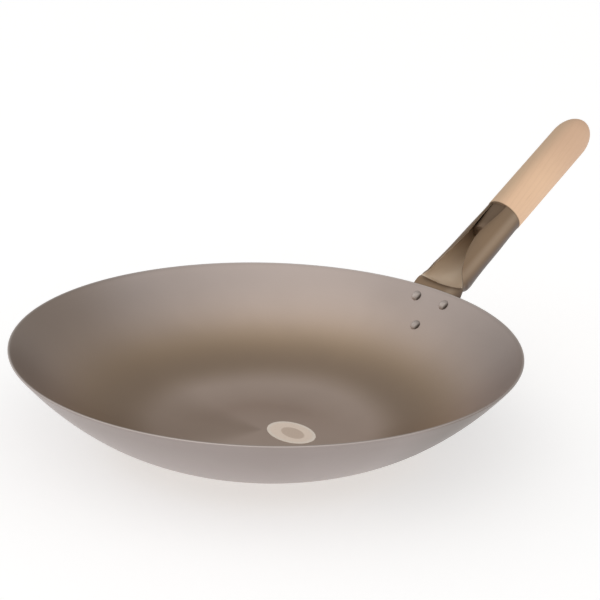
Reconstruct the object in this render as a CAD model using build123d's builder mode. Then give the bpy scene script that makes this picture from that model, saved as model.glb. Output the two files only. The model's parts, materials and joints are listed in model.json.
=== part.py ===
from build123d import *
import os
from math import asin, atan2, cos, degrees, exp, radians, sin, sqrt

# Carbon steel wok with one long handle: a pressed sheet bowl, a rolled sheet socket held by
# three rivets, a turned wooden grip driven into the socket and held by a screw, and an oval
# paper label on the floor of the bowl.
# The origin is the centre of the flat underside, +Z is up and the handle points along +X.

# Bowl
rim_diameter = 356.0
bowl_depth = 71.7
base_diameter = 89.0
bowl_sheet = 1.5
rim_round = 0.6

# Handle line: it climbs outwards and passes a little under the rim's outer edge
handle_tilt = 33.5
handle_drop = 2.05
collar_distance = 91.5

# Flange of the socket, which lies on the outside of the wall
handle_sheet = 1.5
flange_gap = 0.2
bend_rise = 5.0
bend_width = 46.0
bend_round = 0.85
flange_width = 48.0

# Socket
socket_diameter = 32.0
collar_diameter = 30.6
slot_half_angle = 31.0
floor_corner_angle = 40.0

# Wooden grip, which stands a step proud of the collar, and its screw
grip_length = 118.4
grip_step = 0.3
nose_length = 24.0
shoulder_round = 0.5
tenon_length = 26.0
tenon_clearance = 0.3
screw_setback = 11.0
screw_diameter = 3.2
screw_head_diameter = 7.0
screw_head_height = 1.9
screw_bite = 11.0
screw_clearance = 0.15

# Rivets
rivet_diameter = 4.8
rivet_head_diameter = 8.6
rivet_head_height = 2.1
rivet_clearance = 0.1
rivet_seat = 0.08
upper_rivet_spacing = 28.8
upper_rivet_depth = 10.3
lower_rivet_depth = 34.0
lower_rivet_margin = 13.0

# Label
label_thickness = 0.2
label_angle = 87.0

# One overrun serves every cut
overrun = 8.0

# The wall's lower radius and its slope at the knee, as shares of a single arc's
lower_radius_share = 0.968
knee_slope_share = 0.6835

# The tenon's end as a share of its width at the collar
tenon_tip_share = 0.86

# The label's size and place as shares of the flat base
label_length_share = 0.463
label_width_share = 0.337
label_place_shares = (0.125, -0.173)

# The trough deepens and narrows from the bend towards the tube, each over its own length, and
# its slot is narrowest at the waist.
deepening_length = 4.5
narrowing_length = 13.5
waist_share = 0.56
mouth_slot_share = 1.48
waist_slot_share = 0.61
section_count = 14
section_half_points = 8

os.makedirs("parts", exist_ok=True)

# Wall of the bowl: a flat base, a lower arc up to the knee and an upper arc to the rim. Both
# come close to the single arc that leaves the base level and ends at the rim.
rim_radius = rim_diameter / 2
base_radius = base_diameter / 2
wall_width = rim_radius - base_radius
single_arc_slope = 2 * degrees(atan2(bowl_depth, wall_width))
single_arc_radius = wall_width / sin(radians(single_arc_slope))
lower_wall_radius = lower_radius_share * single_arc_radius
knee_slope = knee_slope_share * single_arc_slope
knee_x = base_radius + lower_wall_radius * sin(radians(knee_slope))
knee_z = lower_wall_radius * (1 - cos(radians(knee_slope)))
chord_slope = degrees(atan2(bowl_depth - knee_z, rim_radius - knee_x))
rim_slope = 2 * chord_slope - knee_slope
upper_wall_radius = (rim_radius - knee_x) / (sin(radians(rim_slope)) - sin(radians(knee_slope)))
upper_center_x = knee_x - upper_wall_radius * sin(radians(knee_slope))
upper_center_z = knee_z + upper_wall_radius * cos(radians(knee_slope))


def wall_plane(depth_along_wall, side_offset=0.0):
    """Plane on the wall's outside, a length down from the rim: Y up the wall, Z into the bowl."""
    slope = radians(rim_slope) - depth_along_wall / upper_wall_radius
    radius = upper_center_x + upper_wall_radius * sin(slope)
    height = upper_center_z - upper_wall_radius * cos(slope)
    turn_sine = side_offset / radius
    turn_cosine = sqrt(1 - turn_sine**2)
    return Plane(
        origin=(radius * turn_cosine, side_offset, height),
        x_dir=(turn_sine, -turn_cosine, 0),
        z_dir=(-sin(slope) * turn_cosine, -sin(slope) * turn_sine, cos(slope)),
    )


rivet_planes = {
    "rivet_left": wall_plane(upper_rivet_depth, upper_rivet_spacing / 2),
    "rivet_right": wall_plane(upper_rivet_depth, -upper_rivet_spacing / 2),
    "rivet_lower": wall_plane(lower_rivet_depth),
}

# Handle line and the planes that stand on it
tilt = radians(handle_tilt)
handle_direction = Vector(cos(tilt), 0, sin(tilt))
handle_up = Vector(-sin(tilt), 0, cos(tilt))
handle_start = Vector(rim_radius, 0, bowl_depth - handle_drop)
handle_axis = Axis(handle_start, handle_direction)
handle_side = Plane(origin=handle_start, x_dir=handle_direction, z_dir=(0, -1, 0))


def across_handle(distance):
    """Plane square to the handle: X sideways, Y up, at a distance out from the rim."""
    return Plane(
        origin=handle_start + handle_direction * distance, x_dir=(0, 1, 0), z_dir=handle_direction
    )


# The bend lies on the straight run of the flange above the rim
slope = radians(rim_slope)
flange_direction = Vector(cos(slope), 0, sin(slope))
flange_out = Vector(sin(slope), 0, -cos(slope))
flange_top = Vector(rim_radius, 0, bowl_depth) + flange_out * flange_gap
bend_run = (bend_rise + flange_gap * cos(slope)) / sin(slope)
bend_point = flange_top + flange_direction * bend_run
bend_plane = Plane(origin=bend_point, x_dir=(0, 1, 0), z_dir=flange_direction)
bend_distance = (bend_point - handle_start).dot(handle_direction)
bend_level = (bend_point - handle_start).dot(handle_up)


# Bowl
with BuildPart() as bowl:
    with BuildSketch(Plane.XZ):
        with BuildLine():
            base_line = Line((0, 0), (base_radius, 0))
            lower_arc = JernArc(base_line @ 1, base_line % 1, lower_wall_radius, knee_slope)
            TangentArc(lower_arc @ 1, (rim_radius, bowl_depth), tangent=lower_arc % 1)
            offset(amount=bowl_sheet, side=Side.LEFT)
        make_face()
        fillet(vertices().sort_by(Axis.Y)[-2:], rim_round)
    revolve(axis=Axis.Z)
    for rivet_plane in rivet_planes.values():
        with Locations(rivet_plane.offset(bowl_sheet + overrun)):
            Hole(rivet_diameter / 2 + rivet_clearance, 2 * overrun + bowl_sheet)
bowl.part.label = "bowl"
export_step(bowl.part, "parts/bowl.step")


def bend_row(offset_out):
    """Row of points along the bend: the cone around the bowl, cut by the bend's plane."""
    cone_x = bend_point.X + offset_out * sin(slope)
    row = []
    for step in range(-section_half_points, section_half_points + 1):
        side = bend_width / 2 * step / section_half_points
        inset = sin(slope) * (cone_x - sqrt(cone_x**2 - side**2))
        row.append(bend_plane.from_local_coords(Vector(side, inset - offset_out, 0)))
    return row


def slot_angle(share):
    """Half angle of the slot at a share of the socket's length: two waves meet at the waist."""
    waist_angle = waist_slot_share * slot_half_angle
    if share < waist_share:
        end_angle = mouth_slot_share * slot_half_angle
        phase = share / waist_share
    else:
        end_angle = slot_half_angle
        phase = (1 - share) / (1 - waist_share)
    return waist_angle + (end_angle - waist_angle) * (1 + cos(radians(180 * phase))) / 2


def tube_radius(distance):
    """Outer radius of the tube, which eases from the waist to the collar's."""
    past_waist = max((distance - bend_distance) / socket_length - waist_share, 0)
    eased = (1 - cos(radians(180 * past_waist / (1 - waist_share)))) / 2
    return (socket_diameter - eased * (socket_diameter - collar_diameter)) / 2


def trough_row(distance):
    """Row of points across the trough: a flatter bottom arc runs into an arc on each side."""
    past_bend = distance - bend_distance
    sheet_radius = tube_radius(distance) - handle_sheet / 2
    deep = exp(-past_bend / deepening_length)
    narrow = exp(-past_bend / narrowing_length)
    half_width = sheet_radius + narrow * (bend_width / 2 - sheet_radius)
    bottom = deep * (bend_level + sheet_radius) - sheet_radius
    height = deep * bend_level - bottom
    corner = radians(floor_corner_angle)
    # The two radii that give this half-width and this height of the widest level
    scale = 1 - sin(corner) - cos(corner)
    side_radius = (half_width * (1 - cos(corner)) - height * sin(corner)) / scale
    bottom_radius = (height * (1 - sin(corner)) - half_width * cos(corner)) / scale
    end_angle = radians(180 - slot_angle(past_bend / socket_length))
    bottom_length = bottom_radius * corner
    half_length = bottom_length + side_radius * (end_angle - corner)
    plane = across_handle(distance)
    row = []
    for step in range(-section_half_points, section_half_points + 1):
        length = half_length * abs(step) / section_half_points
        if length < bottom_length:
            angle = length / bottom_radius
            center_x, center_z, radius = 0, bottom + bottom_radius, bottom_radius
        else:
            angle = corner + (length - bottom_length) / side_radius
            center_x = (bottom_radius - side_radius) * sin(corner)
            center_z = bottom + bottom_radius - (bottom_radius - side_radius) * cos(corner)
            radius = side_radius
        side = center_x + radius * sin(angle)
        level = center_z - radius * cos(angle)
        row.append(plane.from_local_coords(Vector(side if step > 0 else -side, level, 0)))
    return row


# Handle socket: the flange follows the wall, then the sheet bends and rolls into a tube
socket_length = collar_distance - bend_distance
screw_distance = collar_distance - screw_setback
screw_plane = Plane(
    origin=handle_start + handle_direction * screw_distance - handle_up * tube_radius(screw_distance),
    x_dir=(0, 1, 0),
    z_dir=handle_up,
)
bend_line = bend_row(handle_sheet / 2)
section_step = socket_length / section_count
trough_rows = [bend_line]
for section in range(1, section_count + 1):
    trough_rows.append(trough_row(bend_distance + section * section_step))
with BuildPart() as handle_socket:
    with BuildSketch(Plane.XZ):
        with BuildLine():
            flange_arc = CenterArc(
                (upper_center_x, upper_center_z),
                upper_wall_radius + flange_gap,
                knee_slope - 90,
                rim_slope - knee_slope,
            )
            Line(flange_arc @ 1, flange_arc @ 1 + flange_arc % 1 * (bend_run + overrun))
            offset(amount=handle_sheet, side=Side.RIGHT)
        make_face()
    revolve(axis=Axis.Z)
    outline_plane = wall_plane(upper_rivet_depth)
    with BuildSketch(outline_plane):
        with Locations((0, 0)):
            Rectangle(flange_width, upper_rivet_depth, align=(Align.CENTER, Align.MIN))
        with Locations((0, upper_rivet_depth + bend_run)):
            Rectangle(bend_width, overrun, align=(Align.CENTER, Align.MIN))
        with Locations((0, upper_rivet_depth - lower_rivet_depth)):
            Circle(lower_rivet_margin)
        make_hull()
    extrude(amount=overrun, both=True, mode=Mode.INTERSECT)
    split(bisect_by=bend_plane, keep=Keep.BOTTOM)
    with BuildLine():
        bend_spline = Spline(*bend_line)
    with BuildSketch(Plane(origin=bend_spline @ 0, z_dir=bend_spline % 0)):
        Circle(bend_round)
    sweep(path=bend_spline)
    trough_face = Face.make_surface_from_array_of_points(trough_rows)
    thicken(trough_face, amount=handle_sheet / 2, both=True)
    for rivet_plane in rivet_planes.values():
        with Locations(rivet_plane.offset(overrun)):
            Hole(rivet_diameter / 2 + rivet_clearance, 2 * overrun)
    with Locations(screw_plane.offset(overrun)):
        Hole(screw_diameter / 2 + screw_clearance, 2 * overrun)
handle_socket.part.label = "handle_socket"
export_step(handle_socket.part, "parts/handle_socket.step")


# Wooden grip: a round nose, a shoulder on the collar and a tapered tenon inside the socket
grip_radius = collar_diameter / 2 + grip_step
tenon_radius = collar_diameter / 2 - handle_sheet - tenon_clearance
tenon_start = collar_distance - tenon_length
nose_start = collar_distance + grip_length - nose_length
with BuildPart() as wooden_grip:
    with BuildSketch(handle_side):
        with BuildLine():
            Polyline(
                (nose_start, grip_radius),
                (collar_distance, grip_radius),
                (collar_distance, tenon_radius),
                (tenon_start, tenon_tip_share * tenon_radius),
                (tenon_start, 0),
                (collar_distance + grip_length, 0),
            )
            EllipticalCenterArc((nose_start, 0), nose_length, grip_radius, arc_size=90)
        make_face()
        shoulder_corners = vertices().group_by(Axis.Y)[-1].sort_by(Axis.X)
        fillet(shoulder_corners[0], shoulder_round)
    revolve(axis=handle_axis)
    with Locations(screw_plane.offset(handle_sheet + screw_bite)):
        Hole(screw_diameter / 2 + screw_clearance, handle_sheet + screw_bite)
wooden_grip.part.label = "wooden_grip"
export_step(wooden_grip.part, "parts/wooden_grip.step")


def draw_dome(radius, height, seat, direction):
    """Half of a domed head: a flat seat and a round top, which points up (1) or down (-1)."""
    dome_radius = (radius**2 + height**2) / (2 * height)
    half_angle = asin(radius / dome_radius) / 2
    middle_height = height - dome_radius * (1 - cos(half_angle))
    middle = (dome_radius * sin(half_angle), seat + direction * middle_height)
    return ThreePointArc((radius, seat), middle, (0, seat + direction * height))


def axial_plane(plane):
    """Plane through another's normal: X stays and Y runs along that normal."""
    return Plane(origin=plane.origin, x_dir=plane.x_dir, z_dir=-plane.y_dir)


# Screw: it enters from underneath, through the socket's bottom into the tenon
with BuildPart() as grip_screw:
    with BuildSketch(axial_plane(screw_plane)):
        with BuildLine():
            head_arc = draw_dome(screw_head_diameter / 2, screw_head_height, -rivet_seat, -1)
            Polyline(
                head_arc @ 0,
                (screw_diameter / 2, -rivet_seat),
                (screw_diameter / 2, handle_sheet + screw_bite - screw_diameter),
                (0, handle_sheet + screw_bite - screw_clearance),
                head_arc @ 1,
            )
        make_face()
    revolve(axis=Axis(screw_plane.origin, screw_plane.z_dir))
grip_screw.part.label = "grip_screw"
export_step(grip_screw.part, "parts/grip_screw.step")

# Rivets: a low dome inside the bowl, a shank through both sheets and a dome on the flange
for rivet_name, rivet_plane in rivet_planes.items():
    inner_seat = bowl_sheet + rivet_seat
    outer_seat = -flange_gap - handle_sheet - rivet_seat
    head_radius = rivet_head_diameter / 2
    with BuildPart() as rivet:
        with BuildSketch(axial_plane(rivet_plane)):
            with BuildLine():
                inner_arc = draw_dome(head_radius, rivet_head_height, inner_seat, 1)
                outer_arc = draw_dome(head_radius, rivet_head_height, outer_seat, -1)
                Polyline(
                    inner_arc @ 0,
                    (rivet_diameter / 2, inner_seat),
                    (rivet_diameter / 2, outer_seat),
                    outer_arc @ 0,
                )
                Line(inner_arc @ 1, outer_arc @ 1)
            make_face()
        revolve(axis=Axis(rivet_plane.origin, rivet_plane.z_dir))
    rivet.part.label = rivet_name
    export_step(rivet.part, f"parts/{rivet_name}.step")

# Label: a thin oval stuck to the flat floor
with BuildPart() as paper_label:
    with BuildSketch(Plane.XY.offset(bowl_sheet)):
        with Locations([tuple(share * base_diameter for share in label_place_shares)]):
            Ellipse(
                label_length_share * base_diameter / 2,
                label_width_share * base_diameter / 2,
                rotation=label_angle,
            )
    extrude(amount=label_thickness)
paper_label.part.label = "paper_label"
export_step(paper_label.part, "parts/paper_label.step")
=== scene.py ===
"""Carbon steel wok with a long handle: a pressed bowl, a rolled socket, three rivets, a turned
wooden grip with its screw and an oval paper label, on a plain floor in soft light."""

import json
from math import acos, asin, atan2, cos, exp, pi, radians, sin, sqrt

import bpy
from mathutils import Matrix, Vector

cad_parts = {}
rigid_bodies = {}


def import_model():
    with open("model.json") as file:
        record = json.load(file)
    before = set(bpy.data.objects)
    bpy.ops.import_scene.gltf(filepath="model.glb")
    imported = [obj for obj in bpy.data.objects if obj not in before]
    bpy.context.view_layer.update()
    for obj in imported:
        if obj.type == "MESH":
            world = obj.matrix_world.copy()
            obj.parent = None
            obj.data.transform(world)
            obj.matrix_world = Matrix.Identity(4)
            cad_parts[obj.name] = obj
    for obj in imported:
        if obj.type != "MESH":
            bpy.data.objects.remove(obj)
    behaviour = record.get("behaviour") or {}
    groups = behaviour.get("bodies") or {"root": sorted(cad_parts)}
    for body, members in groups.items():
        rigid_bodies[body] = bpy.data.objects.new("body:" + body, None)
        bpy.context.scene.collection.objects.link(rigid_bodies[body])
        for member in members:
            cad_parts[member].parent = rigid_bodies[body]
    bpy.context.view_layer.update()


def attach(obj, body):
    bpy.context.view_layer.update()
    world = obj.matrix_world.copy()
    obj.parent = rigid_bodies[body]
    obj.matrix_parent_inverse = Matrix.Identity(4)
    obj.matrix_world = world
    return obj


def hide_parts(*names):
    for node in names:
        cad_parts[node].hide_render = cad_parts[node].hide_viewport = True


bl_info = {
    "name": "Carbon steel wok",
    "version": (1, 0, 0),
    "blender": (4, 5, 0),
    "location": "View3D > Sidebar > Wok",
    "description": "Builds a long-handled steel wok piece by piece, with its finishes and a stage",
    "category": "Add Mesh",
}

for startup_object in list(bpy.data.objects):
    bpy.data.objects.remove(startup_object)
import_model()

MM = 0.001

# The photo's view, fitted to the rim's ellipse and the handle
CAMERA_PLACE = (-0.55351, -0.62343, 0.38324)
CAMERA_DEGREES = (71.2509, -1.8207, -42.4792)
CAMERA_LENS = 76.212
CAMERA_SENSOR = 36.0
# That view's right: along X and Y on the bowl, and down and sideways across the handle, whose
# half width it crosses
# Painted shade and highlights on the bowl, the socket and the grip are laid along this direction
BOWL_RIGHT = (0.730, -0.683)
HANDLE_RIGHT = (0.73, -0.68)
HANDLE_HALF = 15.5 * MM

# Soft light: the room's dark side and the softbox
DARK_SIDE = (0.6555, 0.4128, 0.632)
ROOM_TINT = (1.0, 0.99, 0.98)
SOFTBOX_PLACE = (-1.5, -1.0, 2.1)
SOFTBOX_TARGET = (0, 0, 0.05)
SOFTBOX_SIZE = (2.8, 1.8)
SOFTBOX_TINT = (1, 0.97, 0.95)

# Rings of the bowl's flat floor, in shares of its radius
FLOOR_RING_SHARES = (0.25, 0.55, 0.80, 0.94, 1.0)
# The label's middle, in shares of the flat floor's width
LABEL_PLACE_SHARES = (0.125, -0.173)
# The label's darker oval: its middle, half length and half width, and turn
OVAL_PLACE = (11.2 * MM, -16.9 * MM, 0.0)
OVAL_HALVES = (10.8 * MM, 6.8 * MM, 1.0)
OVAL_TURN = radians(83)

# Inset and height of the points on the grip's rounded shoulder
SHOULDER_POINTS = ((0.55 * MM, 0.0), (0.18 * MM, 0.14 * MM), (0.0, 0.55 * MM))


def length_size(label, words, millimetres):
    return bpy.props.FloatProperty(
        name=label, description=words, default=millimetres * MM, min=0.0, unit="LENGTH", precision=5
    )


def angle_size(label, words, degrees_wide):
    return bpy.props.FloatProperty(
        name=label, description=words, default=radians(degrees_wide), subtype="ANGLE"
    )


def colour(label, words, red, green, blue):
    return bpy.props.FloatVectorProperty(
        name=label, description=words, default=(red, green, blue), size=3, min=0.0, max=1.0,
        subtype="COLOR",
    )


def share(label, words, value, highest=1.0):
    return bpy.props.FloatProperty(
        name=label, description=words, default=value, min=0.0, max=highest
    )


class WokSizes(bpy.types.PropertyGroup):
    """Sizes of the bowl, its rivets and its label"""

    rim_diameter: length_size("Rim diameter", "Outer width of the bowl at its rim", 356.0)
    bowl_depth: length_size("Depth", "Height of the outer wall above the flat underside", 71.7)
    base_diameter: length_size("Base diameter", "Width of the flat underside", 89.0)
    bowl_sheet: length_size("Bowl sheet", "Thickness of the pressed sheet", 1.5)
    rim_round: length_size("Rim round", "Rounding of the rim's two edges", 0.6)
    lower_radius_share: share("Lower arc", "Lower wall radius against a single arc's", 0.968, 2.0)
    knee_slope_share: share("Knee slope", "Slope at the knee against a single arc's", 0.6835)
    rivet_head: length_size("Rivet head", "Width of a rivet's head", 8.6)
    rivet_height: length_size("Rivet height", "Height of a rivet's head", 2.1)
    rivet_shank: length_size("Rivet shank", "Width of a rivet's shank", 4.8)
    rivet_seat: length_size("Rivet seat", "Gap under a rivet's head", 0.08)
    upper_spacing: length_size("Upper rivets", "Distance between the two upper rivets", 28.8)
    upper_depth: length_size("Upper rivet depth", "Way down the wall to the upper rivets", 10.3)
    lower_depth: length_size("Lower rivet depth", "Way down the wall to the lower rivet", 34.0)
    label_length: length_size("Label length", "Long way across the paper label", 41.2)
    label_width: length_size("Label width", "Short way across the paper label", 30.0)
    label_thickness: length_size("Label thickness", "Thickness of the paper", 0.2)
    label_turn: angle_size("Label turn", "Turn of the label from the handle's line", 87.0)


class HandleSizes(bpy.types.PropertyGroup):
    """Sizes of the socket, the wooden grip and its screw"""

    tilt: angle_size("Tilt", "Climb of the handle above the horizontal", 33.5)
    drop: length_size("Drop", "How far the handle's line passes below the rim", 2.05)
    collar: length_size("Collar distance", "From the rim to the end of the socket", 91.5)
    sheet: length_size("Socket sheet", "Thickness of the rolled sheet", 1.5)
    flange_gap: length_size("Flange gap", "Gap between the wall and the flange", 0.2)
    flange_width: length_size("Flange width", "Width of the flange on the wall", 48.0)
    flange_tip: length_size("Flange tip", "Radius of the flange's rounded end", 13.0)
    bend_rise: length_size("Bend rise", "Height of the bend above the rim", 5.0)
    bend_width: length_size("Bend width", "Width of the sheet at the bend", 46.0)
    socket_diameter: length_size("Socket diameter", "Outer width of the rolled tube", 32.0)
    collar_diameter: length_size("Collar diameter", "Outer width of the tube's end", 30.6)
    slot: angle_size("Slot", "Half angle of the slot at the collar", 31.0)
    mouth_slot: share("Mouth slot", "Slot's angle at the mouth against the collar's", 1.48, 2.0)
    waist_slot: share("Waist slot", "Slot's angle at the waist against the collar's", 0.61)
    corner: angle_size("Floor corner", "Where the trough's bottom arc meets its sides", 40.0)
    deepening: length_size("Deepening", "Length over which the trough deepens", 4.5)
    narrowing: length_size("Narrowing", "Length over which the trough narrows", 13.5)
    waist_share: share("Waist", "Place of the slot's narrowest part", 0.56)
    edge_round: length_size("Edge round", "Rounding of the sheet's cut edges", 0.35)
    grip_length: length_size("Grip length", "Wooden grip from the collar to its tip", 118.4)
    grip_step: length_size("Grip step", "How far the grip stands proud of the collar", 0.3)
    nose_length: length_size("Nose length", "Length of the rounded nose", 24.0)
    tenon_length: length_size("Tenon length", "Wood inside the socket", 26.0)
    tenon_tip: length_size("Tenon tip", "Width of the tenon's end", 23.2)
    tenon_round: length_size("Tenon round", "Rounding of the tenon's end", 0.4)
    tenon_clearance: length_size("Tenon clearance", "Gap between the tenon and the socket", 0.3)
    screw_setback: length_size("Screw setback", "From the collar back to the screw", 11.0)
    screw_head: length_size("Screw head", "Width of the screw's head", 7.0)
    screw_height: length_size("Screw head height", "Height of the screw's head", 1.9)
    screw_seat: length_size("Screw seat", "Gap under the screw's head", 0.08)
    screw_shank: length_size("Screw shank", "Width of the screw's shank", 3.2)
    screw_tip: length_size("Screw tip", "Width of the screw's blunt end", 0.6)
    screw_straight: length_size("Screw straight", "Shank from the sheet to its taper", 9.3)
    screw_length: length_size("Screw length", "Shank from the sheet to its end", 12.3)
    screw_slot: length_size("Screw slot", "Width and depth of the driver's slot", 1.0)


class WokColours(bpy.types.PropertyGroup):
    """Colours of the finishes"""

    steel: colour("Steel", "Bare rolled steel of the bowl's floor", 0.62, 0.50, 0.425)
    straw: colour("Straw tint", "Golden-brown heat tint of the wall", 0.455, 0.335, 0.23)
    # Darker heat-tint ring; the same colour is also painted shade on the bowl's left side
    smoke_tint_and_shade: colour("Smoke tint", "Darker ring under the straw tint", 0.34, 0.25, 0.18)
    dusk: colour("Mauve tint", "Paler steel near the rim", 0.43, 0.365, 0.335)
    outside: colour("Outside", "Mauve-grey steel of the outside", 0.45, 0.39, 0.375)
    # Painted shade: the outside is darkened towards the rim
    outside_top_shade: colour("Outside top", "Darker outside under the rim", 0.24, 0.20, 0.18)
    # Painted shade: the outside is darkened towards the view's right, by the handle
    outside_right_shade: colour("Outside right", "Darker outside by the handle", 0.10, 0.07, 0.05)
    mottle: colour("Mottle", "Soft clouds in the bowl's steel", 0.26, 0.21, 0.17)
    lip: colour("Lip", "Brighter cut edge of the rim", 0.62, 0.56, 0.52)
    socket: colour("Socket", "Lacquered steel of the socket", 0.24, 0.165, 0.105)
    socket_cloud: colour("Socket cloud", "Soft clouds in the lacquer", 0.19, 0.14, 0.10)
    # Painted highlight: a paler stripe along the socket's side
    socket_highlight: colour("Socket sheen", "Paler stripe along the socket", 0.36, 0.275, 0.20)
    # Painted shade on the socket's underside
    socket_underside_shade: colour("Socket underside", "Darker underside", 0.075, 0.055, 0.05)
    socket_edge: colour("Socket edge", "Cut edge of the socket's sheet", 0.11, 0.075, 0.05)
    # Painted light: the inside of the trough is paler by the bend, standing in for light reaching
    # it
    trough: colour("Trough", "Paler inside of the socket by the bend", 0.66, 0.54, 0.41)
    # Painted light: the inside of the trough by the collar, less bright than by the bend
    trough_far_painted_light: colour("Far trough", "Inside of the socket by the collar", 0.42, 0.295, 0.185)
    rivet: colour("Rivet", "Steel of the rivet heads", 0.46, 0.405, 0.37)
    rivet_speck: colour("Rivet speck", "Darker specks in it", 0.26, 0.22, 0.19)
    # Painted highlight on the lit side of the rivet heads
    rivet_painted_highlight: colour("Worn rivet", "Bright side of the rivet heads", 0.72, 0.65, 0.61)
    # Painted shadow on the dark side of the rivet heads
    rivet_painted_shadow: colour("Rivet lee", "Dark side of the rivet heads", 0.06, 0.045, 0.035)
    screw: colour("Screw", "Bright steel of the screw", 0.52, 0.50, 0.47)
    screw_mark: colour("Screw mark", "Turning marks on the screw", 0.36, 0.34, 0.31)
    wood: colour("Wood", "Sapwood of the grip", 0.65, 0.435, 0.295)
    # Painted light: the wood is paler by the collar
    wood_lit_pale: colour("Pale wood", "Yellower wood by the collar", 0.80, 0.545, 0.36)
    wood_line: colour("Wood line", "Darker growth lines of the grip", 0.55, 0.345, 0.225)
    # Painted shade: a cooler, darker strip along the grip's far side
    wood_painted_shade: colour("Wood shade", "Cooler strip on the grip's far side", 0.50, 0.37, 0.25)
    wood_pore: colour("Wood pore", "Fine pores of the grip", 0.50, 0.31, 0.19)
    # Painted shade: the tenon is coloured dark to stand in for the shade inside the socket
    tenon: colour("Tenon", "Scorched wood inside the socket", 0.105, 0.068, 0.040)
    # Paler end of the tenon's painted shade
    tenon_end: colour("Tenon end", "Paler end of that wood", 0.17, 0.115, 0.075)
    paper: colour("Paper", "Pale ring of the label", 0.80, 0.675, 0.57)
    paper_edge: colour("Paper edge", "Brighter edge of the label", 0.80, 0.72, 0.63)
    paper_middle: colour("Paper middle", "Darker oval in the label", 0.56, 0.445, 0.36)
    paper_fibre: colour("Paper fibre", "Fibres in the paper", 0.38, 0.31, 0.25)


class StageSettings(bpy.types.PropertyGroup):
    """Floor, lights and camera"""

    floor: colour("Floor", "Colour of the plain floor", 0.62, 0.62, 0.62)
    floor_width: length_size("Floor width", "Width of the plain floor", 14000.0)
    glow: share("Floor glow", "Even light from the translucent floor", 0.52)
    key: bpy.props.FloatProperty(
        name="Key light", description="Power of the large soft light", default=4.0, min=0.0,
        unit="POWER",
    )
    fill: bpy.props.FloatProperty(
        name="Surroundings", description="Strength of the soft light all round", default=1.0,
        min=0.0,
    )
    backdrop: share("Backdrop", "Brightness of the dark backdrop against the soft light", 0.44)


# Shader wiring


class Wire:
    """A socket's value, on which Python's operators add Math nodes."""

    def __init__(self, socket):
        self.socket = socket

    def math(self, operation, *others):
        values = dict(enumerate((self, *others)))
        return add_node(self.socket.id_data, "ShaderNodeMath", {"operation": operation}, values)[0]

    def __add__(self, other):
        return self.math("ADD", other)

    def __mul__(self, other):
        return self.math("MULTIPLY", other)

    def __sub__(self, other):
        return self.math("SUBTRACT", other)

    def __truediv__(self, other):
        return self.math("DIVIDE", other)

    def __pow__(self, other):
        return self.math("POWER", other)

    def __rsub__(self, other):
        return (self * -1.0) + other

    __radd__ = __add__
    __rmul__ = __mul__

    def step(self, low, high):
        """Soft step: 0 below low and 1 above high."""
        settings = {"interpolation_type": "SMOOTHSTEP"}
        values = {"Value": self, "From Min": low, "From Max": high}
        return add_node(self.socket.id_data, "ShaderNodeMapRange", settings, values)[0]

    def bump_at(self, place, width):
        """Soft bell: 1 at a place, 0 a width away from it on either side."""
        return 1 - ((self - place) / width).math("ABSOLUTE").step(0.0, 1.0)


def feed(node, values):
    """Links a wire to each of these sockets, or sets a constant on it."""
    for socket, value in values.items():
        if isinstance(value, Wire):
            node.id_data.links.new(value.socket, node.inputs[socket])
        else:
            node.inputs[socket].default_value = value


def add_node(tree, kind, settings=None, values=None):
    """Adds a node with its settings first, then the values or links of its sockets."""
    node = tree.nodes.new(kind)
    for setting, value in (settings or {}).items():
        setattr(node, setting, value)
    feed(node, values or {})
    return [Wire(output) for output in node.outputs]


def mix(tree, factor, first, second):
    """Colour between two colours, each of three parts or a wire."""
    colours = [c if isinstance(c, Wire) else (*c, 1.0) for c in (first, second)]
    values = {0: factor, 6: colours[0], 7: colours[1]}
    return add_node(tree, "ShaderNodeMix", {"data_type": "RGBA"}, values)[2]


def new_finish(name):
    """Empty material with a Principled shader: gives its tree and the shader."""
    material = bpy.data.materials.new(name)
    material.use_nodes = True
    return material.node_tree, material.node_tree.nodes["Principled BSDF"]


def place_of(tree, location=(0, 0, 0), rotation=(0, 0, 0), scale=(1, 1, 1)):
    """Object coordinates, seen from a frame that is moved, turned or scaled on the piece."""
    coordinates = add_node(tree, "ShaderNodeTexCoord")[3]
    values = {"Vector": coordinates, "Location": location, "Rotation": rotation, "Scale": scale}
    return add_node(tree, "ShaderNodeMapping", {"vector_type": "TEXTURE"}, values)[0]


def split(tree, vector):
    return add_node(tree, "ShaderNodeSeparateXYZ", None, {0: vector})


def noise(tree, vector, scale, detail=2.0):
    values = {"Vector": vector, "Scale": scale, "Detail": detail}
    return add_node(tree, "ShaderNodeTexNoise", None, values)[0]


def stretch(tree, vector, factors):
    settings = {"operation": "MULTIPLY"}
    return add_node(tree, "ShaderNodeVectorMath", settings, {0: vector, 1: factors})[0]


def surface(shader, tone, metallic, roughness, relief, depth):
    """Feeds a finish's colour, gloss and fine relief of this depth to its shader."""
    values = {"Height": relief, "Distance": depth}
    bump = add_node(shader.id_data, "ShaderNodeBump", None, values)[0]
    feed(shader, {
        "Base Color": tone, "Metallic": metallic, "Roughness": roughness, "Normal": bump
    })


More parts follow.
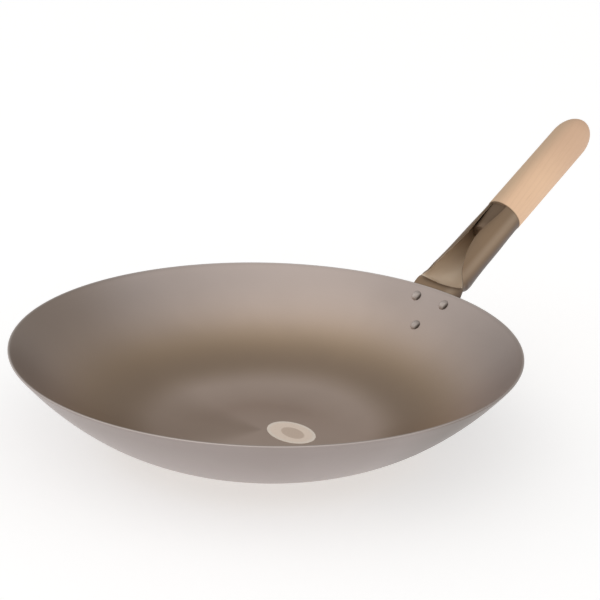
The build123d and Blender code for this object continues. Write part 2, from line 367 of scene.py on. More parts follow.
def bowl_steel_finish(tree, shader):
    """Rolled steel: faint spin lines, soft mottling and heat tints that follow the wall, with
    painted shade on the bowl's left side and on its outside.
    """
    colours, sizes = bpy.context.scene.wok_colours, bpy.context.scene.wok_sizes
    upper_radius, centre = wall_arcs(sizes)[4:]
    place = place_of(tree)
    x, y, z = split(tree, place)
    radius = (x * x + y * y).math("SQRT")
    cloud = noise(tree, place, 14.0, 3.0)
    patch = noise(tree, place, 5.0, 1.0)
    wander = radius + (patch - 0.5) * 0.016
    tone = mix(tree, wander.bump_at(0.118, 0.045) * 0.9, colours.steel, colours.straw)
    tone = mix(tree, wander.bump_at(0.103, 0.028) * 0.62, tone, colours.smoke_tint_and_shade)
    tone = mix(tree, wander.step(0.130, 0.176), tone, colours.dusk)
    right = (x * BOWL_RIGHT[0] + y * BOWL_RIGHT[1]) / (radius + MM)
    # Painted shade: the bowl's side away from the view's right is darkened with the smoke colour
    tone = mix(tree, (0 - right).step(0.62, 0.98) * 0.42, tone, colours.smoke_tint_and_shade)
    reach = ((radius - centre[0]) ** 2.0 + (z - centre[1]) ** 2.0).math("SQRT")
    outside = reach.step(upper_radius - 1.0 * MM, upper_radius - 0.5 * MM)
    # Painted shade on the upper outside, under the rim
    below_rim = z.step(0.020, 0.070)
    outer_tone = mix(tree, below_rim * 0.45, colours.outside, colours.outside_top_shade)
    # Painted shade on the outside towards the view's right
    outer_tone = mix(tree, right.step(0.46, 0.72) * 0.55, outer_tone, colours.outside_right_shade)
    tone = mix(tree, outside, tone, outer_tone)
    lip = z.step(sizes.bowl_depth - 0.1 * MM, sizes.bowl_depth + 0.5 * MM)
    tone = mix(tree, lip * 0.7, tone, colours.lip)
    tone = mix(tree, (cloud - 0.5).math("ABSOLUTE") * 0.4, tone, colours.mottle)
    spin = add_node(tree, "ShaderNodeCombineXYZ", None, {0: radius * 2600.0, 1: 0.5})[0]
    lines = noise(tree, spin, 1.0)
    roughness = 0.31 + cloud * 0.10 + (lines - 0.5) * 0.04
    surface(shader, tone, 1.0, roughness, lines * 0.5 + cloud, 0.04 * MM)


def across_handle(across, side):
    """Way across the handle as the photo shows it: -1 at its left edge and 1 at its right edge."""
    return (across * HANDLE_RIGHT[0] + side * HANDLE_RIGHT[1]) / HANDLE_HALF


def socket_steel_finish(tree, shader):
    """Darker rolled steel under a worn lacquer, with drawn lines along the handle, a painted
    highlight stripe, painted shade on the underside and painted light inside the trough.
    """
    colours = bpy.context.scene.wok_colours
    start, turn = handle_frame()
    place = place_of(tree, start, (0.0, turn, 0.0))
    across, side, along = split(tree, place)
    cloud = noise(tree, place, 22.0, 3.0)
    drawn = noise(tree, stretch(tree, place, (500.0, 500.0, 12.0)), 1.0)
    inside = add_node(tree, "ShaderNodeAttribute", {"attribute_name": "inside"})[2]
    tone = mix(tree, cloud.step(0.35, 0.75) * 0.5, colours.socket, colours.socket_cloud)
    right = across_handle(across, side)
    # Painted highlight: a paler stripe along the socket, placed across the view
    tone = mix(tree, right.bump_at(0.42, 0.32) * 0.55, tone, colours.socket_highlight)
    # Painted shade: darker towards the underside, along the view's right
    tone = mix(tree, right.step(0.55, 1.0) * 0.8, tone, colours.socket_underside_shade)
    # Painted light inside the trough: paler by the bend and fading towards the collar; the inside
    # is also made less metallic
    near_bend = 1 - along.step(0.020, 0.075)
    pale = mix(tree, near_bend, colours.trough_far_painted_light, colours.trough)
    tone = mix(tree, inside, tone, pale)
    tone = mix(tree, inside * (1 - inside) * 3.2, tone, colours.socket_edge)
    roughness = 0.36 + cloud * 0.12 + (drawn - 0.5) * 0.10
    surface(shader, tone, 0.85 - inside * 0.75, roughness, drawn * 0.4 + cloud, 0.06 * MM)


def rivet_steel_finish(tree, shader):
    """Pressed steel of the rivets, with a painted highlight on one side of each head and a painted
    shadow on the other.
    """
    colours = bpy.context.scene.wok_colours
    speck = noise(tree, place_of(tree), 420.0)
    lee = add_node(tree, "ShaderNodeAttribute", {"attribute_name": "lee"})[2]
    tone = mix(tree, speck.step(0.45, 0.8) * 0.5, colours.rivet, colours.rivet_speck)
    # Painted highlight on each head's side away from its shadow
    tone = mix(tree, (1 - lee.step(0.2, 0.75)) * 0.8, tone, colours.rivet_painted_highlight)
    # Painted shadow: a dark crescent on each head's lower right
    tone = mix(tree, lee.step(0.69, 0.92) * 0.95, tone, colours.rivet_painted_shadow)
    surface(shader, tone, 1.0, 0.46 + speck * 0.15, speck, 0.05 * MM)


def screw_steel_finish(tree, shader):
    """Bright screw with fine turning marks."""
    colours = bpy.context.scene.wok_colours
    marks = noise(tree, stretch(tree, place_of(tree), (900.0, 900.0, 300.0)), 1.0)
    tone = mix(tree, marks, colours.screw, colours.screw_mark)
    surface(shader, tone, 1.0, 0.24 + marks * 0.18, marks, 0.03 * MM)


def grip_wood_finish(tree, shader):
    """Sanded pale wood: growth rings cut lengthwise and fine pores, with painted light by the
    collar, painted shade along the far side and a tenon painted dark as shade inside the socket.
    """
    colours = bpy.context.scene.wok_colours
    handle = bpy.context.scene.wok_handle
    start, turn = handle_frame()
    place = place_of(tree, start, (0.0, turn, 0.0))
    across, side, along = split(tree, place)
    drift = noise(tree, stretch(tree, place, (28.0, 28.0, 5.0)), 1.0)
    ring_x = across + 0.030 + along * 0.10 + (drift - 0.5) * 0.006
    ring_y = side - 0.012 + (drift - 0.5) * 0.004
    ring_radius = (ring_x * ring_x + ring_y * ring_y).math("SQRT")
    growth = (ring_radius * 1500.0).math("SINE") * 0.5 + 0.5
    line = growth ** 5.0
    pores = noise(tree, stretch(tree, place, (1500.0, 1500.0, 60.0)), 1.0)
    # Painted light on the grip by the collar
    beyond_collar = along.step(handle.collar + 0.030, handle.collar + 0.095)
    tone = mix(tree, beyond_collar, colours.wood_lit_pale, colours.wood)
    # Painted shade along the grip's upper-left edge, across the view
    upper_left = (0 - across_handle(across, side)).step(0.25, 0.98)
    tone = mix(tree, upper_left * 0.75, tone, colours.wood_painted_shade)
    tone = mix(tree, line * 0.10 + drift * 0.22, tone, colours.wood_line)
    tone = mix(tree, pores.step(0.58, 0.75) * 0.15, tone, colours.wood_pore)
    # Painted shade: the wood inside the socket is coloured dark, a little paler towards its end
    tenon_shade_mask = 1 - along.step(handle.collar - 0.4 * MM, handle.collar + MM)
    past_end = along.step(handle.collar - 27 * MM, handle.collar - 18 * MM)
    tenon_shade_tone = mix(tree, past_end, colours.tenon_end, colours.tenon)
    tone = mix(tree, tenon_shade_mask * 0.96, tone, tenon_shade_tone)
    feed(shader, {"Specular IOR Level": 0.35})
    surface(shader, tone, 0.0, 0.58 + pores * 0.14, pores * 0.5 + line * 0.1, 0.06 * MM)


def label_paper_finish(tree, shader):
    """Blank oval label: a pale ring with a brighter edge round a darker oval."""
    colours = bpy.context.scene.wok_colours
    sizes = bpy.context.scene.wok_sizes
    outer = place_of(
        tree, (*label_centre(), 0.0), (0.0, 0.0, sizes.label_turn),
        (sizes.label_length / 2, sizes.label_width / 2, 1.0),
    )
    x, y, z = split(tree, outer)
    reach = (x * x + y * y).math("SQRT")
    inner = place_of(tree, OVAL_PLACE, (0.0, 0.0, OVAL_TURN), OVAL_HALVES)
    u, v, w = split(tree, inner)
    middle = 1 - (u * u + v * v).math("SQRT").step(0.90, 1.08)
    fibres = noise(tree, place_of(tree), 900.0, 3.0)
    tone = mix(tree, reach.step(0.80, 0.95), colours.paper, colours.paper_edge)
    tone = mix(tree, middle * 0.85, tone, colours.paper_middle)
    tone = mix(tree, fibres.step(0.5, 0.8) * 0.15, tone, colours.paper_fibre)
    surface(shader, tone, 0.0, 0.62 + fibres * 0.12, fibres, 0.04 * MM)


FINISHES = {
    "bowl_steel_tinted": bowl_steel_finish,
    "socket_steel_lacquered": socket_steel_finish,
    "rivet_steel_pressed": rivet_steel_finish,
    "screw_steel_bright": screw_steel_finish,
    "grip_wood_sanded": grip_wood_finish,
    "label_paper_blank": label_paper_finish,
}


# Modelling helpers


def clear_selection():
    if bpy.context.mode != "OBJECT":
        bpy.ops.object.mode_set(mode="OBJECT")
    bpy.ops.object.select_all(action="DESELECT")


def select_only(piece):
    clear_selection()
    piece.select_set(True)
    bpy.context.view_layer.objects.active = piece


def apply_place():
    bpy.ops.object.transform_apply(location=True, rotation=True, scale=True)


def ring_stack(name, rings, segments, closed):
    """Round piece about Z from rings of (radius, height): each ring is extruded from the last."""
    clear_selection()
    radius, height = rings[0]
    bpy.ops.mesh.primitive_circle_add(
        vertices=segments, radius=radius, fill_type="NGON", location=(0, 0, height),
        enter_editmode=True,
    )
    piece = bpy.context.object
    piece.name = piece.data.name = name
    bpy.ops.mesh.select_mode(type="EDGE")
    for next_radius, next_height in rings[1:]:
        bpy.ops.mesh.extrude_edges_move(
            TRANSFORM_OT_translate={"value": (0, 0, next_height - height)}
        )
        growth = next_radius / radius
        bpy.ops.transform.resize(value=(growth, growth, 1), center_override=(0, 0, next_height))
        radius, height = next_radius, next_height
    if closed:
        bpy.ops.mesh.edge_face_add()
    bpy.ops.mesh.select_all(action="SELECT")
    bpy.ops.mesh.normals_make_consistent(inside=False)
    bpy.ops.object.mode_set(mode="OBJECT")
    apply_place()
    return piece


def apply_modifier(piece, kind, **settings):
    """Adds a modifier with these settings and applies it."""
    select_only(piece)
    modifier = piece.modifiers.new(kind.title(), kind)
    for setting, value in settings.items():
        setattr(modifier, setting, value)
    bpy.ops.object.modifier_apply(modifier=modifier.name)


def lay_at(piece, matrix):
    """Moves a piece to its place and leaves its object at the origin."""
    select_only(piece)
    piece.matrix_world = matrix
    apply_place()


def finish_piece(piece, finish, node, smooth_angle=35.0):
    """Shades a piece, gives it its finish and puts it in the frame in its node's place."""
    select_only(piece)
    bpy.ops.object.shade_smooth_by_angle(angle=radians(smooth_angle))
    if finish not in bpy.data.materials:
        FINISHES[finish](*new_finish(finish))
    piece.data.materials.clear()
    piece.data.materials.append(bpy.data.materials[finish])
    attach(piece, "root")
    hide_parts(node)


# Shapes that several pieces share


def wall_arcs(sizes):
    """Knee, rim slope and the upper arc's radius and centre of the bowl's outside."""
    rim_radius, base_radius = sizes.rim_diameter / 2, sizes.base_diameter / 2
    width = rim_radius - base_radius
    single_slope = 2 * atan2(sizes.bowl_depth, width)
    lower_radius = sizes.lower_radius_share * width / sin(single_slope)
    knee = sizes.knee_slope_share * single_slope
    knee_x = base_radius + lower_radius * sin(knee)
    knee_z = lower_radius * (1 - cos(knee))
    rim_slope = 2 * atan2(sizes.bowl_depth - knee_z, rim_radius - knee_x) - knee
    upper_radius = (rim_radius - knee_x) / (sin(rim_slope) - sin(knee))
    centre = (knee_x - upper_radius * sin(knee), knee_z + upper_radius * cos(knee))
    return base_radius, lower_radius, knee, rim_slope, upper_radius, centre


def wall_rings(sizes, lower_count=26, upper_count=18):
    """Rings (radius, height) of the bowl's outside from its floor to its rim."""
    base_radius, lower_radius, knee, rim_slope, upper_radius, centre = wall_arcs(sizes)
    rings = [(base_radius * part, 0.0) for part in FLOOR_RING_SHARES]
    for step in range(1, lower_count + 1):
        slope = knee * step / lower_count
        rings.append((base_radius + lower_radius * sin(slope), lower_radius * (1 - cos(slope))))
    for step in range(1, upper_count + 1):
        slope = knee + (rim_slope - knee) * step / upper_count
        rings.append((centre[0] + upper_radius * sin(slope), centre[1] - upper_radius * cos(slope)))
    return rings


def wall_spot(sizes, depth, offset_out=0.0):
    """Radius and height of the point a length down the wall from the rim, and its slope."""
    base_radius, lower_radius, knee, rim_slope, upper_radius, centre = wall_arcs(sizes)
    slope = rim_slope - max(depth, 0.0) / upper_radius
    reach = upper_radius + offset_out
    radius = centre[0] + reach * sin(slope) - min(depth, 0.0) * cos(slope)
    height = centre[1] - reach * cos(slope) - min(depth, 0.0) * sin(slope)
    return radius, height, slope


def wall_matrix(sizes, depth, side):
    """Frame on the wall's outside: Z points into the bowl and Y down the wall."""
    radius, height, slope = wall_spot(sizes, depth)
    turn = asin(side / radius)
    inwards = Vector((-sin(slope) * cos(turn), -sin(slope) * sin(turn), cos(slope)))
    sideways = Vector((-sin(turn), cos(turn), 0.0))
    down_wall = inwards.cross(sideways)
    matrix = Matrix((sideways, down_wall, inwards)).transposed().to_4x4()
    matrix.translation = Vector((radius * cos(turn), radius * sin(turn), height))
    return matrix


def handle_frame():
    """Start of the handle's line and the turn that lays local Z along it."""
    sizes, handle = bpy.context.scene.wok_sizes, bpy.context.scene.wok_handle
    start = Vector((sizes.rim_diameter / 2, 0.0, sizes.bowl_depth - handle.drop))
    return start, pi / 2 - handle.tilt


def handle_matrix(distance=0.0):
    """Frame on the handle's line: Z runs along it and X points up from it."""
    start, turn = handle_frame()
    tilt = bpy.context.scene.wok_handle.tilt
    along = Vector((cos(tilt), 0.0, sin(tilt)))
    up = Vector((-sin(tilt), 0.0, cos(tilt)))
    side = along.cross(up)
    matrix = Matrix((up, side, along)).transposed().to_4x4()
    matrix.translation = start + along * distance
    return matrix


def bend_facts(sizes, handle):
    """Bend point on the flange's inner face and its place on the handle's line."""
    slope = wall_arcs(sizes)[3]
    run = (handle.bend_rise + handle.flange_gap * cos(slope)) / sin(slope)
    along = Vector((cos(slope), 0.0, sin(slope)))
    out = Vector((sin(slope), 0.0, -cos(slope)))
    rim = Vector((sizes.rim_diameter / 2, 0.0, sizes.bowl_depth))
    point = rim + out * handle.flange_gap + along * run
    start = handle_frame()[0]
    line = Vector((cos(handle.tilt), 0.0, sin(handle.tilt)))
    up = Vector((-sin(handle.tilt), 0.0, cos(handle.tilt)))
    return point, slope, (point - start).dot(line), (point - start).dot(up)


def tube_radius(handle, part):
    """Outer radius of the socket's tube at a share of its length."""
    past_waist = max(part - handle.waist_share, 0.0) / (1 - handle.waist_share)
    eased = (1 - cos(pi * past_waist)) / 2
    return (handle.socket_diameter - eased * (handle.socket_diameter - handle.collar_diameter)) / 2


def label_centre():
    """Where the label's middle lies on the flat base."""
    base = bpy.context.scene.wok_sizes.base_diameter
    return tuple(part * base for part in LABEL_PLACE_SHARES)


def dome_rings(radius, height, seat, direction, steps=9, top_share=0.04):
    """Rings of a domed head from its seat to its top, or the other way for direction -1."""
    dome_radius = (radius**2 + height**2) / (2 * height)
    half_angle = asin(radius / dome_radius)
    rings = []
    for step in range(steps + 1):
        angle = half_angle * (1 - step / steps)
        rise = height - dome_radius * (1 - cos(angle))
        rings.append((max(dome_radius * sin(angle), radius * top_share), seat + direction * rise))
    return rings if direction > 0 else rings[::-1]


# Operators: one for each piece or group of like pieces


class WOK_OT_bowl(bpy.types.Operator):
    """Presses the bowl out of one sheet and rounds its rim"""

    bl_idname = "wok.bowl"
    bl_label = "Bowl"

    columns = 224

    def execute(self, context):
        sizes = context.scene.wok_sizes
        piece = ring_stack("bowl_sheet", wall_rings(sizes), self.columns, closed=False)
        bpy.ops.object.mode_set(mode="EDIT")
        bpy.ops.mesh.select_all(action="SELECT")
        floor = min(piece.data.polygons, key=lambda face: face.center.z)
        if floor.normal.z < 0:
            bpy.ops.mesh.flip_normals()
        bpy.ops.object.mode_set(mode="OBJECT")
        apply_modifier(piece, "SOLIDIFY", thickness=sizes.bowl_sheet, offset=1.0)
        apply_modifier(
            piece, "BEVEL", width=sizes.rim_round, segments=3, limit_method="ANGLE",
            angle_limit=radians(40),
        )
        finish_piece(piece, "bowl_steel_tinted", "bowl")
        return {"FINISHED"}


class WOK_OT_socket(bpy.types.Operator):
    """Folds the flange, the bend and the rolled trough of the handle out of one sheet"""

    bl_idname = "wok.socket"
    bl_label = "Handle socket"

    half_columns = 14
    section_count = 14
    rows_between = 4
    tip_rows, side_rows, top_rows = 8, 8, 3
    run_up_rows = 4
    easing_rounds = 6
    tip_start = radians(-86)
    bend_end = 8 * MM

    def flange_rows(self, sizes, handle):
        """Rows up the outside of the wall, from the rounded end to the rim."""
        tip, half = handle.flange_tip, handle.flange_width / 2
        reach = sqrt(half**2 + (sizes.lower_depth - sizes.upper_depth) ** 2)
        angle_up = atan2(sizes.lower_depth - sizes.upper_depth, half)
        tangent = angle_up - acos(tip / reach)
        outline = []
        for step in range(self.tip_rows + 1):
            angle = self.tip_start + (tangent - self.tip_start) * step / self.tip_rows
            outline.append((sizes.lower_depth - tip * sin(angle), tip * cos(angle)))
        low_depth, low_half = outline[-1]
        for step in range(1, self.side_rows + 1):
            part = step / self.side_rows
            depth = low_depth + (sizes.upper_depth - low_depth) * part
            outline.append((depth, low_half + (half - low_half) * part))
        for step in range(1, self.top_rows + 1):
            outline.append((sizes.upper_depth * (1 - step / self.top_rows), half))
        rows = []
        for depth, half_width in outline:
            radius, height, slope = wall_spot(sizes, depth, handle.flange_gap + handle.sheet / 2)
            row = []
            for column in range(-self.half_columns, self.half_columns + 1):
                side = half_width * column / self.half_columns
                row.append(Vector((sqrt(radius**2 - side**2), side, height)))
            rows.append(row)
        return rows

    def bend_row(self, sizes, handle):
        """Row along the bend: the cone round the bowl, cut flat."""
        point, slope, distance, level = bend_facts(sizes, handle)
        offset_out = handle.sheet / 2
        cone_x = point.x + offset_out * sin(slope)
        towards_rim = Vector((-sin(slope), 0.0, cos(slope)))
        row = []
        for column in range(-self.half_columns, self.half_columns + 1):
            side = handle.bend_width / 2 * column / self.half_columns
            inset = sin(slope) * (cone_x - sqrt(cone_x**2 - side**2))
            row.append(point + towards_rim * (inset - offset_out) + Vector((0.0, side, 0.0)))
        return row

    def slot_angle(self, handle, part):
        """Half angle of the slot along the socket: widest at the mouth, narrowest at the waist."""
        waist = handle.waist_slot * handle.slot
        if part < handle.waist_share:
            end, phase = handle.mouth_slot * handle.slot, part / handle.waist_share
        else:
            end, phase = handle.slot, (1 - part) / (1 - handle.waist_share)
        return waist + (end - waist) * (1 + cos(pi * phase)) / 2

    def trough_row(self, sizes, handle, part):
        """Row across the trough: a flatter bottom arc runs into an arc on each side."""
        point, slope, bend_distance, bend_level = bend_facts(sizes, handle)
        past_bend = part * (handle.collar - bend_distance)
        sheet_radius = tube_radius(handle, part) - handle.sheet / 2
        deep = exp(-past_bend / handle.deepening)
        narrow = exp(-past_bend / handle.narrowing)
        half_width = sheet_radius + narrow * (handle.bend_width / 2 - sheet_radius)
        bottom = deep * (bend_level + sheet_radius) - sheet_radius
        height = deep * bend_level - bottom
        corner = handle.corner
        scale = 1 - sin(corner) - cos(corner)
        side_radius = (half_width * (1 - cos(corner)) - height * sin(corner)) / scale
        floor_radius = (height * (1 - sin(corner)) - half_width * cos(corner)) / scale
        floor_length = floor_radius * corner
        end_angle = pi - self.slot_angle(handle, part)
        half_length = floor_length + side_radius * (end_angle - corner)
        frame_here = handle_matrix(bend_distance + past_bend)
        row = []
        for column in range(-self.half_columns, self.half_columns + 1):
            length = half_length * abs(column) / self.half_columns
            if length < floor_length:
                radius = floor_radius
                angle, centre, rise = length / radius, 0.0, bottom + radius
            else:
                radius = side_radius
                angle = corner + (length - floor_length) / radius
                centre = (floor_radius - radius) * sin(corner)
                rise = bottom + floor_radius - (floor_radius - radius) * cos(corner)
            side = centre + radius * sin(angle)
            level = rise - radius * cos(angle)
            side = side if column > 0 else -side
            row.append(frame_here @ Vector((level, -side, 0.0)))
        return row

    def smooth_between(self, rows):
        """Rows of a curve through all rows, column by column."""
        fine = []
        for index in range(len(rows) - 1):
            before = rows[max(index - 1, 0)]
            after = rows[min(index + 2, len(rows) - 1)]
            for step in range(self.rows_between):
                t = step / self.rows_between
                row = []
                for p0, p1, p2, p3 in zip(before, rows[index], rows[index + 1], after):
                    row.append(
                        0.5 * (2 * p1 + (p2 - p0) * t + (2 * p0 - 5 * p1 + 4 * p2 - p3) * t**2
                               + (3 * p1 - p0 - 3 * p2 + p3) * t**3)
                    )
                fine.append(row)
        fine.append(rows[-1])
        return fine

    def mark_inside(self, piece):
        """Marks the shell of the sheet that lies nearer to the tube's middle, past the bend."""
        frame_back = handle_matrix().inverted()
        places = [frame_back @ vertex.co for vertex in piece.data.vertices]
        half = len(places) // 2
        reach = [sqrt(place.x**2 + place.y**2) for place in places]
        first_is_inside = sum(reach[:half]) < sum(reach[half:])
        inside = piece.data.attributes.new("inside", "FLOAT", "POINT")
        for index, place in enumerate(places):
            faces_in = (index < half) == first_is_inside
            inside.data[index].value = float(faces_in and place.z > self.bend_end)

    def execute(self, context):
        sizes, handle = context.scene.wok_sizes, context.scene.wok_handle
        flange = self.flange_rows(sizes, handle)
        bend = self.bend_row(sizes, handle)
        run_up = []
        for step in range(1, self.run_up_rows + 1):
            part = step / (self.run_up_rows + 1)
            run_up.append([low.lerp(high, part) for low, high in zip(flange[-1], bend)])
        sections = [bend]
        for section in range(1, self.section_count + 1):
            sections.append(self.trough_row(sizes, handle, section / self.section_count))
        trough = self.smooth_between(sections)
        rows = flange + run_up + trough
        first = len(flange) + 1
        last = len(flange) + len(run_up) + self.rows_between
        for repeat in range(self.easing_rounds):
            eased = [list(row) for row in rows]
            for index in range(first, last):
                for column in range(len(rows[index])):
                    middle = (rows[index - 1][column] + rows[index + 1][column]) / 2
                    eased[index][column] = rows[index][column].lerp(middle, 0.5)
            rows = eased
        columns = 2 * self.half_columns + 1
        clear_selection()
        bpy.ops.mesh.primitive_grid_add(
            x_subdivisions=columns - 1, y_subdivisions=len(rows) - 1, size=2.0, location=(0, 0, 0)
        )
        piece = context.object
        piece.name = piece.data.name = "handle_socket_sheet"
        for vertex in piece.data.vertices:
            column = round((vertex.co.x + 1) / 2 * (columns - 1))
            row = round((vertex.co.y + 1) / 2 * (len(rows) - 1))
            vertex.co = rows[row][column]
        apply_modifier(piece, "SOLIDIFY", thickness=handle.sheet, offset=0.0)
        self.mark_inside(piece)
        apply_modifier(
            piece, "BEVEL", width=handle.edge_round, segments=2, limit_method="ANGLE",
            angle_limit=radians(50),
        )
        bpy.ops.object.mode_set(mode="EDIT")
        bpy.ops.mesh.select_all(action="SELECT")
        bpy.ops.mesh.normals_make_consistent(inside=False)
        bpy.ops.object.mode_set(mode="OBJECT")
        finish_piece(piece, "socket_steel_lacquered", "handle_socket", 40.0)
        return {"FINISHED"}


class WOK_OT_grip(bpy.types.Operator):
    """Turns the wooden grip with its round nose, its shoulder and its tapered tenon"""

    bl_idname = "wok.grip"
    bl_label = "Wooden grip"

    columns = 96
    tenon_rows, straight_rows, nose_rows = 7, 12, 24
    nose_tip_share = 0.6

    def execute(self, context):
        handle = context.scene.wok_handle
        outer = handle.collar_diameter / 2 + handle.grip_step
        tenon = handle.collar_diameter / 2 - handle.sheet - handle.tenon_clearance
        tenon_tip, tenon_end = handle.tenon_tip / 2, handle.collar - handle.tenon_length
        tip = handle.collar + handle.grip_length
        nose_start = tip - handle.nose_length
        rings = [(tenon_tip - handle.tenon_round, tenon_end)]
        for step in range(self.tenon_rows + 1):
            part = step / self.tenon_rows
            straight = (handle.tenon_length - handle.tenon_round) * part
            rings.append((
                tenon_tip + (tenon - tenon_tip) * part, tenon_end + handle.tenon_round + straight
            ))
        for inset, rise in SHOULDER_POINTS:
            rings.append((outer - inset, handle.collar + rise))
        for step in range(1, self.straight_rows + 1):
            part = step / self.straight_rows
            rings.append((outer, handle.collar + (nose_start - handle.collar) * part))
        for step in range(1, self.nose_rows + 1):
            angle = pi / 2 * step / (self.nose_rows + self.nose_tip_share)
            rings.append((outer * cos(angle), nose_start + handle.nose_length * sin(angle)))
        piece = ring_stack("wooden_grip_turned", rings, self.columns, closed=True)
        lay_at(piece, handle_matrix())
        finish_piece(piece, "grip_wood_sanded", "wooden_grip", 50.0)
        return {"FINISHED"}


class WOK_OT_rivets(bpy.types.Operator):
    """Sets the three rivets: a domed head inside the bowl, a shank and a head on the flange"""

    bl_idname = "wok.rivets"
    bl_label = "Rivets"

    columns = 48
    # Direction of each head's painted shadow, sideways and down the wall
    shadow_direction = Vector((-0.976, 0.218))

    def execute(self, context):
        sizes, handle = context.scene.wok_sizes, context.scene.wok_handle
        inner_seat = sizes.bowl_sheet + sizes.rivet_seat
        outer_seat = -handle.flange_gap - handle.sheet - sizes.rivet_seat
        head = sizes.rivet_head / 2
        rings = dome_rings(head, sizes.rivet_height, outer_seat, -1)
        rings.append((sizes.rivet_shank / 2, outer_seat))
        rings.append((sizes.rivet_shank / 2, inner_seat))
        rings += dome_rings(head, sizes.rivet_height, inner_seat, 1)
        places = {
            "rivet_left": (sizes.upper_depth, sizes.upper_spacing / 2),
            "rivet_right": (sizes.upper_depth, -sizes.upper_spacing / 2),
            "rivet_lower": (sizes.lower_depth, 0.0),
        }
        for name, (depth, side) in places.items():
            piece = ring_stack(name + "_domed", rings, self.columns, closed=True)
            # Share of the way across each head towards its painted shadow
            lee = piece.data.attributes.new("lee", "FLOAT", "POINT")
            for vertex in piece.data.vertices:
                lee.data[vertex.index].value = 0.5 + vertex.co.xy.dot(self.shadow_direction) / (2 * head)
            lay_at(piece, wall_matrix(sizes, depth, side))
            finish_piece(piece, "rivet_steel_pressed", name)
        return {"FINISHED"}


class WOK_OT_screw(bpy.types.Operator):
    """Drives the slotted screw into the tenon from underneath"""

    bl_idname = "wok.screw"
    bl_label = "Grip screw"

    columns = 48

    def execute(self, context):
        sizes, handle = context.scene.wok_sizes, context.scene.wok_handle
        head, shank, seat = handle.screw_head / 2, handle.screw_shank / 2, -handle.screw_seat
        rings = dome_rings(head, handle.screw_height, seat, -1)
        rings += [(shank, seat), (shank, handle.screw_straight)]
        rings.append((handle.screw_tip / 2, handle.screw_length))
        piece = ring_stack("grip_screw_slotted", rings, self.columns, closed=True)
        clear_selection()
        slot = handle.screw_slot
        bpy.ops.mesh.primitive_cube_add(size=1.0, location=(0, 0, -2 * slot))
        cutter = context.object
        cutter.scale = (1.2 * handle.screw_head, slot, 2 * slot)
        apply_place()
        apply_modifier(piece, "BOOLEAN", operation="DIFFERENCE", object=cutter, solver="EXACT")
        bpy.data.objects.remove(cutter)
        distance = handle.collar - handle.screw_setback
        bend_distance = bend_facts(sizes, handle)[2]
        part = (distance - bend_distance) / (handle.collar - bend_distance)
        here = handle_matrix(distance)
        up, side, along = (here.col[i].to_3d() for i in range(3))
        matrix = Matrix((along, up.cross(along), up)).transposed().to_4x4()
        matrix.translation = here.translation - up * tube_radius(handle, part)
        lay_at(piece, matrix)
        finish_piece(piece, "screw_steel_bright", "grip_screw")
        return {"FINISHED"}


class WOK_OT_label(bpy.types.Operator):
    """Lays the blank oval paper label on the floor of the bowl"""

    bl_idname = "wok.label"
    bl_label = "Paper label"

    columns = 96
    edge_points = ((0.994, 0.0), (1.0, 0.4), (0.998, 0.9), (0.990, 1.0))
    top_ring_shares = (0.9, 0.7, 0.45, 0.2)

    def execute(self, context):
        sizes = context.scene.wok_sizes
        top = sizes.label_thickness
        rings = [(part, top * rise) for part, rise in self.edge_points]
        rings += [(part, top) for part in self.top_ring_shares]
        piece = ring_stack("paper_label_oval", rings, self.columns, closed=True)
        matrix = (
            Matrix.Translation((*label_centre(), sizes.bowl_sheet))
            @ Matrix.Rotation(sizes.label_turn, 4, "Z")
            @ Matrix.Diagonal((sizes.label_length / 2, sizes.label_width / 2, 1.0, 1.0))
        )
        lay_at(piece, matrix)
        finish_piece(piece, "label_paper_blank", "paper_label")
        return {"FINISHED"}


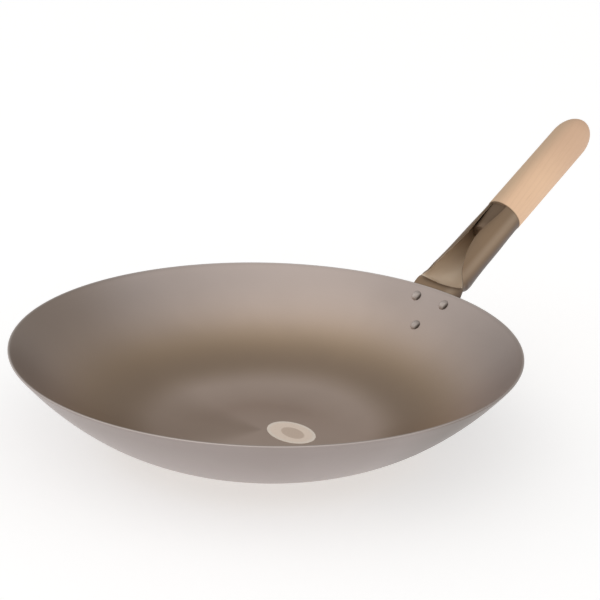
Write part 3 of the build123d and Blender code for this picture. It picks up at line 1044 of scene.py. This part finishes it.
class WOK_OT_stage(bpy.types.Operator):
    """Sets the plain floor, the soft lights and the camera"""

    bl_idname = "wok.stage"
    bl_label = "Stage"

    def softbox(self, context, power):
        """Large soft light in front of the wok, on the left."""
        data = bpy.data.lights.new("front_softbox", "AREA")
        data.shape = "RECTANGLE"
        data.size, data.size_y = SOFTBOX_SIZE
        data.energy = power
        data.color = SOFTBOX_TINT
        light = bpy.data.objects.new("front_softbox", data)
        context.scene.collection.objects.link(light)
        light.location = SOFTBOX_PLACE
        aim = Vector(SOFTBOX_TARGET) - Vector(SOFTBOX_PLACE)
        light.rotation_euler = aim.to_track_quat("-Z", "Y").to_euler()

    def surroundings(self, context, strength, backdrop):
        """Even soft light all round, with one darker side."""
        world = bpy.data.worlds.new("studio_surroundings")
        world.use_nodes = True
        tree = world.node_tree
        background = tree.nodes["Background"]
        values = {0: add_node(tree, "ShaderNodeTexCoord")[0], 1: DARK_SIDE}
        towards_dark = add_node(
            tree, "ShaderNodeVectorMath", {"operation": "DOT_PRODUCT"}, values
        )[1]
        dark = tuple(backdrop * part for part in ROOM_TINT)
        tone = mix(tree, towards_dark.step(0.30, 0.86), ROOM_TINT, dark)
        feed(background, {"Color": tone, "Strength": strength})
        context.scene.world = world

    def photo_camera(self, context):
        """Camera at the photo's angle."""
        camera = bpy.data.objects.new("photo_camera", bpy.data.cameras.new("photo_camera"))
        context.scene.collection.objects.link(camera)
        camera.data.sensor_width = CAMERA_SENSOR
        camera.data.lens = CAMERA_LENS
        camera.data.clip_start, camera.data.clip_end = 0.01, 50.0
        camera.location = CAMERA_PLACE
        camera.rotation_euler = [radians(angle) for angle in CAMERA_DEGREES]
        context.scene.camera = camera

    def execute(self, context):
        stage = context.scene.wok_stage
        clear_selection()
        bpy.ops.mesh.primitive_plane_add(size=stage.floor_width, location=(0, 0, 0))
        floor = context.object
        floor.name = "floor"
        tree, shader = new_finish("floor_paper_white")
        feed(shader, {
            "Base Color": (*stage.floor, 1.0), "Roughness": 0.9,
            "Emission Color": (1.0, 1.0, 1.0, 1.0), "Emission Strength": stage.glow,
        })
        floor.data.materials.append(bpy.data.materials["floor_paper_white"])
        self.surroundings(context, stage.fill, stage.backdrop)
        self.softbox(context, stage.key)
        context.scene.view_settings.view_transform = "Standard"
        self.photo_camera(context)
        return {"FINISHED"}


class WOK_PT_panel(bpy.types.Panel):
    """Sizes, colours and build steps of the wok"""

    bl_idname = "WOK_PT_panel"
    bl_label = "Carbon steel wok"
    bl_space_type = "VIEW_3D"
    bl_region_type = "UI"
    bl_category = "Wok"

    def draw(self, context):
        layout = self.layout
        for group in (context.scene.wok_sizes, context.scene.wok_handle,
                      context.scene.wok_colours, context.scene.wok_stage):
            box = layout.box()
            for setting in group.__annotations__:
                box.prop(group, setting)
        for step in STEPS:
            layout.operator(step.bl_idname)


STEPS = (
    WOK_OT_stage, WOK_OT_bowl, WOK_OT_socket, WOK_OT_grip, WOK_OT_rivets, WOK_OT_screw,
    WOK_OT_label,
)
GROUPS = {
    "wok_sizes": WokSizes,
    "wok_handle": HandleSizes,
    "wok_colours": WokColours,
    "wok_stage": StageSettings,
}


def register():
    for group in GROUPS.values():
        bpy.utils.register_class(group)
    for name, group in GROUPS.items():
        setattr(bpy.types.Scene, name, bpy.props.PointerProperty(type=group))
    for step in STEPS:
        bpy.utils.register_class(step)
    bpy.utils.register_class(WOK_PT_panel)


def unregister():
    bpy.utils.unregister_class(WOK_PT_panel)
    for step in reversed(STEPS):
        bpy.utils.unregister_class(step)
    for name, group in GROUPS.items():
        delattr(bpy.types.Scene, name)
        bpy.utils.unregister_class(group)


def main():
    register()
    bpy.ops.wok.stage()
    bpy.ops.wok.bowl()
    bpy.ops.wok.socket()
    bpy.ops.wok.grip()
    bpy.ops.wok.rivets()
    bpy.ops.wok.screw()
    bpy.ops.wok.label()


if __name__ == "__main__":
    main()
